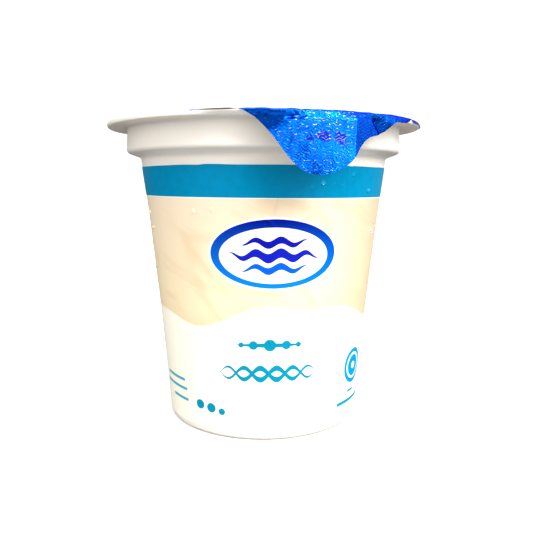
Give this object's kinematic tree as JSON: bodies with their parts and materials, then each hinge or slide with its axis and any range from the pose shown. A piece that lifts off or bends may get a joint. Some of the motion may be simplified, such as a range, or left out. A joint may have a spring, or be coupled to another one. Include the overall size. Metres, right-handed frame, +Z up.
{
  "type": "yogurt pot",
  "caption": "Shut plastic yogurt pot: tapered cup with a stepped neck and flanged rim, printed film label, and a blue foil lid whose pull tab is folded down at the front.",
  "frame": {"origin": "centre of the base, on the surface that the pot stands on", "axes": "+Z up along the pot's axis, -Y to the front of the label, +X to the right of the front; the lid's tab hangs about 17 degrees to the right of the front"},
  "size_m": [0.075, 0.0762, 0.0712],
  "materials": {
    "cup_plastic": "satin white plastic",
    "label_film": "printed film, cream and white under a teal band, soft gloss",
    "lid_foil": "embossed foil with a clear blue lacquer"
  },
  "bodies": {
    "root": {"cup": "cup_plastic", "label": "label_film", "foil_lid": "lid_foil"}
  },
  "joints": []
}
